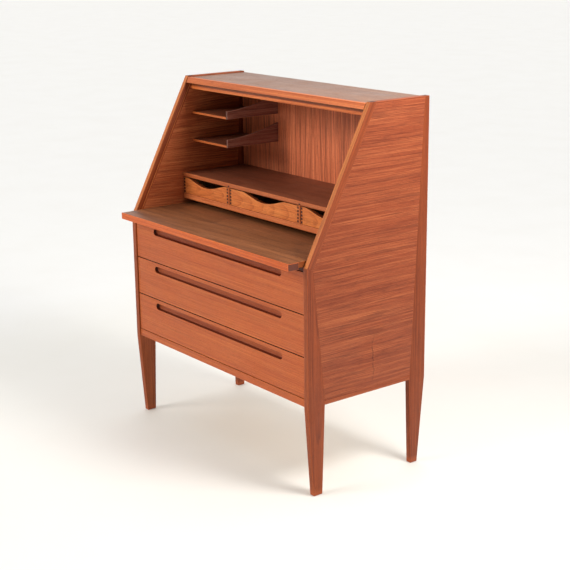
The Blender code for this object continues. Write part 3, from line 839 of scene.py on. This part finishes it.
def makeBack():
    low, high = boxOf("back_panel")
    finish = woodFinish("backPanel", "backVeneer", upwards, sideways, (0.2, 0.06, 0))
    woodPiece("backPanel", boardOf("back_panel"), "back_panel", finish, upwards, back["arris"])
    inset = back["screwInset"]
    left, right, rear = low.x + inset, high.x - inset, high.y - back["screwSink"]
    bottom, upper = low.z + inset, high.z - inset
    corners = [Vector((x, rear, z))
               for x, z in ((left, bottom), (right, bottom), (right, upper), (left, upper))]
    runs = []
    for index, start in enumerate(corners):
        end = corners[(index + 1) % 4]
        count = back["screwsAcross"] if index % 2 == 0 else back["screwsUp"]
        step = (end - start) / count
        runs.append(screwLine(start, end - step, count, backwards, index))
    finishPiece(joinRuns("backScrews", runs), screwSteel, backwards, "case")


carcass = {
    "front_rail": {"look": "frontVeneer", "across": upwards, "slot": "solid_teak", "free": 0.0008},
    "case_bottom": {"look": "drawerWood", "across": backwards, "slot": "drawer_wood", "free": 0.0006},
    # painted shade: the dust board's front face, under the flap, is painted darker
    "dust_board": {"look": "solidBrown", "across": backwards, "slot": "drawer_wood", "free": 0.0006,
                   "lifts": ((-backwards, -0.65),)},
}
runners = {"shade": 0.8, "arris": 0.0008, "screws": 3, "screwEnd": 0.03, "screwProud": 0.0001, "seed": 20}


def makeCarcass():
    for index, (node, values) in enumerate(carcass.items()):
        shift = (0.3 * index, 0.04, 0.01)
        finish = woodFinish(camel(node), values["look"], sideways, values["across"], shift)
        woodPiece(camel(node), boardOf(node), node, finish, sideways, values["free"],
                  lifts=values.get("lifts", ()))
    nodes = [f"{kind}_runner_{hand}" for kind in ("flap", "drawer_bottom", "drawer_middle", "drawer_top")
             for hand in ("left", "right")]
    finish = woodFinish("runnerWood", "solidBrown", backwards, upwards, (0.2, 0.03, 0.05), runners["shade"])
    for node in nodes:
        woodPiece(camel(node), boardOf(node), node, finish, backwards, runners["arris"])
    runs = []
    for index, node in enumerate(nodes[2:]):
        low, high = boxOf(node)
        inward = -1 if high.x > 0 else 1
        face = (low.x if inward < 0 else high.x) + runners["screwProud"] * inward
        ends = (Vector((face, y, (low.z + high.z) / 2))
                for y in (low.y + runners["screwEnd"], high.y - runners["screwEnd"]))
        runs.append(screwLine(*ends, runners["screws"], sideways * inward, runners["seed"] + index))
    finishPiece(joinRuns("runnerScrews", runs), screwSteel, sideways, "case")


makeTop()
makeBack()
makeCarcass()
print("top, back and carcass made")

cabinet = {"lipDepth": 0.006, "baseShade": 1.3, "veneerArris": 0.0002, "lipArris": 0.0008,
           "dividerArris": 0.0005, "dividerShade": 0.95, "markWidth": 0.0075, "markLow": 0.0008,
           "markHigh": 0.0055, "markDepth": 0.004, "markShade": 0.6, "proud": 0.00012}


def makeLippedBoard(node, finish, edge, depth, arris):      # veneer with a solid strip along its front
    name = camel(node)
    low, high = boxOf(node)
    seam = low.y + depth
    woodPiece(name, boxMesh(Vector((low.x, seam, low.z)), high), node, finish, sideways,
              cabinet["veneerArris"])
    woodPiece(name + "Lipping", boxMesh(low, Vector((high.x, seam, high.z))), node, edge, sideways,
              free=arris, stands=False)


def makeCabinet():
    # painted light: the base's front lipping is painted lighter than the shelf's
    for node, shift, lipPaintedLight in (("cabinet_base", (0.15, 0.07, 0.02), cabinet["baseShade"]),
                                  ("cabinet_shelf", (0.55, 0.02, 0.03), 1.0)):
        finish = woodFinish(camel(node), "shelfVeneer", sideways, backwards, shift)
        edge = woodFinish(camel(node) + "Lipping", "cabinetEdgingPaintedLight", sideways, upwards, shift, lipPaintedLight)
        makeLippedBoard(node, finish, edge, cabinet["lipDepth"], cabinet["lipArris"])
    shelfLow = boxOf("cabinet_shelf")[0]
    half = cabinet["markWidth"] / 2
    shift = (0.2, 0.05, 0.01)
    marks = bmesh.new()
    for hand in ("left", "right"):
        node, name = f"cabinet_divider_{hand}", camel("divider", hand)
        finish = woodFinish(name, "solidBright", upwards, backwards, shift, cabinet["dividerShade"])
        woodPiece(name, boardOf(node), node, finish, upwards, free=cabinet["dividerArris"])
        low, high = boxOf(node)
        middle = (low.x + high.x) / 2
        mark = boxMesh((middle - half, shelfLow.y - cabinet["proud"], shelfLow.z + cabinet["markLow"]),
                       (middle + half, shelfLow.y + cabinet["markDepth"], shelfLow.z + cabinet["markHigh"]))
        mesh = bpy.data.meshes.new("mark")
        mark.to_mesh(mesh)
        marks.from_mesh(mesh)
        bpy.data.meshes.remove(mesh)
    finish = woodFinish("housingMark", "solidBrown", backwards, upwards, shift, cabinet["markShade"])
    finishPiece(newPiece("housingMarks", marks), finish, backwards, "case")


trays = {"lipDepth": 0.005, "lipArris": 0.0009, "wedgeArris": 0.0008, "shade": 0.9, "frontLift": 0.5,
         "hollow": 1.6, "near": 0.0001, "raised": 0.001}


def makeTrays():
    for index, name in enumerate(("lower", "upper")):
        node, lipNode = f"tray_{name}", f"tray_lip_{name}"
        label = camel(node)
        finish = woodFinish(label, "shelfVeneer", sideways, backwards, (0.3 * index, 0.03, 0.02),
                            trays["shade"])
        edge = woodFinish(label + "Lipping", "solidBright", sideways, upwards, (0.2 * index, 0.03, 0.02))
        makeLippedBoard(node, finish, edge, trays["lipDepth"], trays["lipArris"])
        low, high = boxOf(lipNode)
        front = min(v.co.z for v in frame["nodes"][lipNode].data.vertices
                    if v.co.y < low.y + trays["near"] and v.co.z > low.z + trays["raised"])
        values = {"Length": high.y - low.y, "Thickness": high.x - low.x, "Front Height": front - low.z,
                  "Rear Height": high.z - low.z, "Hollow": trays["hollow"]}
        spot = Matrix.Translation(((low.x + high.x) / 2, (low.y + high.y) / 2, low.z))
        wedge = joinRuns(label + "Wedge", [(trayWedge, values, spot)])
        easeEdges(wedge, lipNode, trays["wedgeArris"])
        finish = woodFinish(label + "Wedge", "trayVeneer", backwards, upwards, (0.25 * index, 0.04, 0.1))
        # painted light: the wedge's front face is painted lighter
        finishPiece(wedge, finish, backwards, "case", (lipNode,),
                    ((-backwards, trays["frontLift"]),))


makeCabinet()
makeTrays()
print("cabinet and trays made")

flap = {"edgeStrip": 0.0012, "veneer": 0.0008, "frontEdge": 0.0024, "edgePaintedShade": 0.42, "panelArris": 0.0002,
        "stripArris": 0.0003, "lipArris": 0.0010, "pinArris": 0.0006, "pinSeam": 0.0003, "panelWear": 0.1}


def makeFlap():
    low, high = boxOf("flap_panel")
    lipLow, lipHigh = boxOf("flap_lipping")
    strip, seam, fine = flap["edgeStrip"], high.z - flap["veneer"], flap["panelArris"]
    ahead = lipLow.y + flap["frontEdge"]      # the writing veneer runs on over the lipping
    section = [(low.y, low.z), (high.y, low.z), (high.y, high.z), (ahead, high.z), (ahead, seam),
               (low.y, seam)]
    finish = woodFinish("flapPanel", "writingVeneer", sideways, backwards, (0.2, 0.05, 0.01),
                        wear=flap["panelWear"])
    woodPiece("flapPanel", outlineMesh(section, "x", low.x + strip, high.x - strip), "flap_panel", finish,
              sideways, fine, fine)
    # painted shade: the flap's edge strips are darkened as if in the stiles' shadow
    edge = woodFinish("flapEdge", "solidBright", backwards, upwards, (0.1, 0.02, 0.03), flap["edgePaintedShade"])
    for hand, near, far in (("Left", low.x, low.x + strip), ("Right", high.x - strip, high.x)):
        shape = boxMesh(Vector((near, low.y, low.z)), Vector((far, high.y, high.z)))
        woodPiece("flapEdge" + hand, shape, "flap_panel", edge, backwards,
                  flap["stripArris"], stands=False)
    section = [(lipLow.y, lipLow.z), (lipHigh.y, lipLow.z), (lipHigh.y, seam), (ahead, seam),
               (ahead, lipHigh.z), (lipLow.y, lipHigh.z)]
    finish = woodFinish("flapLipping", "flapEdging", sideways, upwards, (0.45, 0.01, 0.02))
    woodPiece("flapLipping", outlineMesh(section, "x", lipLow.x, lipHigh.x), "flap_lipping", finish, sideways,
              free=flap["lipArris"], seam=fine)
    brass = metalFinish("pinBrass", "brass")
    for hand in ("left", "right"):
        node = f"flap_pin_{hand}"
        woodPiece(camel(node), copyOf(node), node, brass, backwards, flap["pinArris"],
                  flap["pinSeam"])


largeDrawer = {"pullLength": 0.659, "pullHeight": 0.021, "pullDepth": 0.012, "pullDrop": 0.022, "cove": 0.004,
               "pullSteps": 16, "coveSteps": 5, "cutAhead": 0.002, "pullStart": 0.0008, "frontArris": 0.0004,
               "frontSeam": 0.0003, "frontSharp": 40, "boxArris": 0.0008, "floorArris": 0.0004,
               "floorShade": 1.05}
drawerPaintedShade = {"edge": -0.9, "floor": -0.68, "wall": -0.27, "ceiling": -0.7}      # painted shade on a front's top and bottom faces, darkening the gaps, and inside its pull
pullMargin = Vector((0.001, 0.0005, 0.0004))      # faces this far past the pull still count as its inside
largeTails = {"Count": 4, "Length": 0.012, "Thickness": 0.0004, "Narrow": 0.009, "Wide": 0.015}
tailLook = {"shade": 0.62, "proud": 0.0001, "smallProud": 0.00012}


def pullCutter(low, high):      # long slot with round ends and a hollow at the back of its floor
    values = largeDrawer
    centre = high.z - values["pullDrop"]
    radius = values["pullHeight"] / 2
    reach, cove, steps = values["pullLength"] / 2 - radius, values["cove"], values["pullSteps"]
    half = [(radius * math.cos(angle), radius * math.sin(angle))
            for angle in (math.pi * (step / steps - 0.5) for step in range(steps + 1))]
    rim = [(reach, u, v) for u, v in half] + [(-reach, -u, -v) for u, v in half]
    levels = [(-values["cutAhead"], 1.0)] + [
        (values["pullDepth"] - cove * (1 - math.sin(turn)), 1 - (cove / radius) * (1 - math.cos(turn)))
        for turn in (math.pi / 2 * step / values["coveSteps"] for step in range(values["coveSteps"] + 1))]
    shape = bmesh.new()
    rings = [[shape.verts.new((side + u * size, low.y + depth, centre + v * size)) for side, u, v in rim]
             for depth, size in levels]
    shape.faces.new(rings[0])
    shape.faces.new(rings[-1])
    for first, second in zip(rings, rings[1:]):
        for index in range(len(first)):
            after = (index + 1) % len(first)
            shape.faces.new((first[index], first[after], second[after], second[index]))
    bmesh.ops.recalc_face_normals(shape, faces=shape.faces)
    return newPiece("cutter", shape)


def makeDrawerFront(name, node, body, shift):
    values = largeDrawer
    low, high = boxOf(node)
    item = newPiece(name, boxMesh(low, high))
    cutter = pullCutter(low, high)
    cut = item.modifiers.new("pull", "BOOLEAN")
    cut.operation, cut.solver, cut.object = "DIFFERENCE", "EXACT", cutter
    settle(item)
    bpy.data.objects.remove(cutter)
    easeEdges(item, node, values["frontArris"], values["frontSeam"], values["frontSharp"])
    finish = woodFinish(name, "frontVeneer", sideways, upwards, shift, wear=0.0)
    # painted shade: the top and bottom faces of the front are darkened so the gaps read dark
    finishPiece(item, finish, sideways, body, (node,),
                ((upwards, drawerPaintedShade["edge"]), (-upwards, drawerPaintedShade["edge"])))
    # painted shade inside the pull: floor, ceiling and back wall darkened by which way they face
    inside = item.data.attributes["paintedFaceLight"].data
    centre = Vector((0, low.y, high.z - values["pullDrop"]))
    for face in item.data.polygons:
        spot = face.center - centre
        if (values["pullStart"] < spot.y < values["pullDepth"] + pullMargin.y
                and abs(spot.z) < values["pullHeight"] / 2 + pullMargin.z
                and abs(spot.x) < values["pullLength"] / 2 + pullMargin.x):
            side = "floor" if face.normal.z > 0.5 else "ceiling" if face.normal.z < -0.5 else "wall"
            inside[face.index].value = drawerPaintedShade[side]


def makeLargeDrawer(row, index):
    values, body = largeDrawer, f"drawer_{row}"
    label = camel(body)
    makeDrawerFront(label + "Front", f"{body}_front", body, (0.31 * index, 0.035 * index, 0.02))
    plain = woodFinish(label + "Wood", "drawerWood", backwards, upwards, (0.2 * index, 0.03, 0.04))
    runs = []
    for hand, sign in (("left", -1), ("right", 1)):
        node = f"{body}_side_{hand}"
        woodPiece(camel(node), copyOf(node), node, plain, backwards, values["boxArris"])
        low, high = boxOf(node)
        spacing = (high.z - low.z) / largeTails["Count"]
        outer = (high.x if sign > 0 else low.x) + sign * (tailLook["proud"] - largeTails["Thickness"] / 2)
        spot = Vector((outer, high.y - largeTails["Length"] / 2, low.z + spacing / 2))
        runs.append((dovetailRow, dict(largeTails, Spacing=spacing),
                     turned(spot, backwards, -sideways, upwards)))
    tails = woodFinish(label + "Tails", "drawerWood", sideways, upwards, (0.3, 0.03 * index, 0.01),
                       tailLook["shade"])
    finishPiece(joinRuns(label + "Tails", runs), tails, backwards, body)
    for part, across, shift, shade, arris in (
            ("back", upwards, (0.5 * index, 0.01, 0.02), 1.0, values["boxArris"]),
            ("floor", backwards, (0.1 * index, 0.2, 0.02), values["floorShade"], values["floorArris"])):
        node = f"{body}_{part}"
        finish = woodFinish(camel(node), "drawerWood", sideways, across, shift, shade)
        woodPiece(camel(node), boardOf(node), node, finish, sideways, arris)


smallDrawer = {"scoopHalf": 0.105, "scoopDepth": 0.0205, "scoopPower": 1.35, "steps": 40, "wall": 0.007,
               "arris": 0.0005, "seam": 0.0003, "boxArris": 0.0006, "boxShade": 0.92, "topShade": -0.6,
               "endPaintedShade": -0.9}
smallTails = {"Count": 5, "Thickness": smallDrawer["wall"], "Narrow": 0.0042, "Wide": 0.0068}


def makeSmallDrawer(hand, index):
    values, body = smallDrawer, f"small_drawer_{hand}"
    label, front = camel(body), f"{body}_front"
    low, high = boxOf(front)
    middle, steps = (low.x + high.x) / 2, values["steps"]
    outline = [(low.x, low.z), (high.x, low.z), (high.x, high.z)]
    for step in range(steps + 1):
        share = 1 - 2 * step / steps
        drop = values["scoopDepth"] * math.cos(math.pi / 2 * share) ** values["scoopPower"]
        outline.append((middle + values["scoopHalf"] * share, high.z - drop))
    outline.append((low.x, high.z))
    finish = woodFinish(camel(front), "smallFront", sideways, upwards,
                        (0.21 * index, -0.748 + 0.006 * index, 0.01))
    # painted shade: the front's top face along the scoop and its ends are darkened
    lifts = ((upwards, values["topShade"]), (sideways, values["endPaintedShade"]), (-sideways, values["endPaintedShade"]))
    woodPiece(camel(front), outlineMesh(outline, "y", low.y, high.y), front, finish, sideways,
              values["arris"], values["seam"], lifts)
    proud, spacing = tailLook["smallProud"], (high.z - low.z) / smallTails["Count"]
    sizes = dict(smallTails, Spacing=spacing, Length=high.y - low.y)
    runs = []
    for sign, edge in ((-1, low.x), (1, high.x)):
        spot = Vector((edge - sign * (values["wall"] / 2 - proud), (low.y + high.y) / 2 - proud,
                       low.z + spacing / 2))
        runs.append((dovetailRow, sizes, turned(spot, -backwards, sideways, upwards)))
    tails = woodFinish(label + "Tails", "solidBrown", backwards, upwards, (0.1, 0.02 * index, 0.03),
                       tailLook["shade"])
    finishPiece(joinRuns(label + "Tails", runs), tails, backwards, body)
    plain = woodFinish(label + "Wood", "drawerWood", backwards, upwards, (0.2 * index, 0.03, 0.04),
                       values["boxShade"])
    node = f"{body}_box"
    woodPiece(camel(node), copyOf(node), node, plain, backwards, values["boxArris"])


makeFlap()
for index, row in enumerate(("bottom", "middle", "top")):
    makeLargeDrawer(row, index)
for index, hand in enumerate(("left", "centre", "right")):
    makeSmallDrawer(hand, index)
print("flap and drawers made")

stage = {"radius": 60.0, "level": -0.0005, "near": paint(221, 220, 215), "far": paint(225, 225, 223),
         "scuff": paint(205, 198, 184), "change": (1.3, 1.9), "glow": 0.13}


def makeStage():
    shape = bmesh.new()
    bmesh.ops.create_circle(shape, cap_ends=True, segments=64, radius=stage["radius"])
    item = newPiece("floor", shape)
    item.location.z = stage["level"]
    material, tree, shader, where = newMaterial("paleFloor")
    scuffs = noiseAt(tree, where, 4.0, 0.6, 3.0)
    distance = place(tree, "ShaderNodeVectorMath", [(0, where)], operation="LENGTH").outputs["Value"]
    shown = blendColour(tree, spread(tree, distance, *stage["change"]), stage["near"], stage["far"])
    shown = blendColour(tree, spread(tree, scuffs, 0.45, 0.75, 0.0, 0.05), shown, stage["scuff"])
    tree.links.new(shown, shader["Base Color"])
    tree.links.new(shown, shader["Emission Color"])
    shader["Emission Strength"].default_value = stage["glow"]
    tree.links.new(spread(tree, scuffs, 0.3, 0.7, 0.55, 0.7), shader["Roughness"])
    item.data.materials.append(material)


makeStage()
print("stage made")
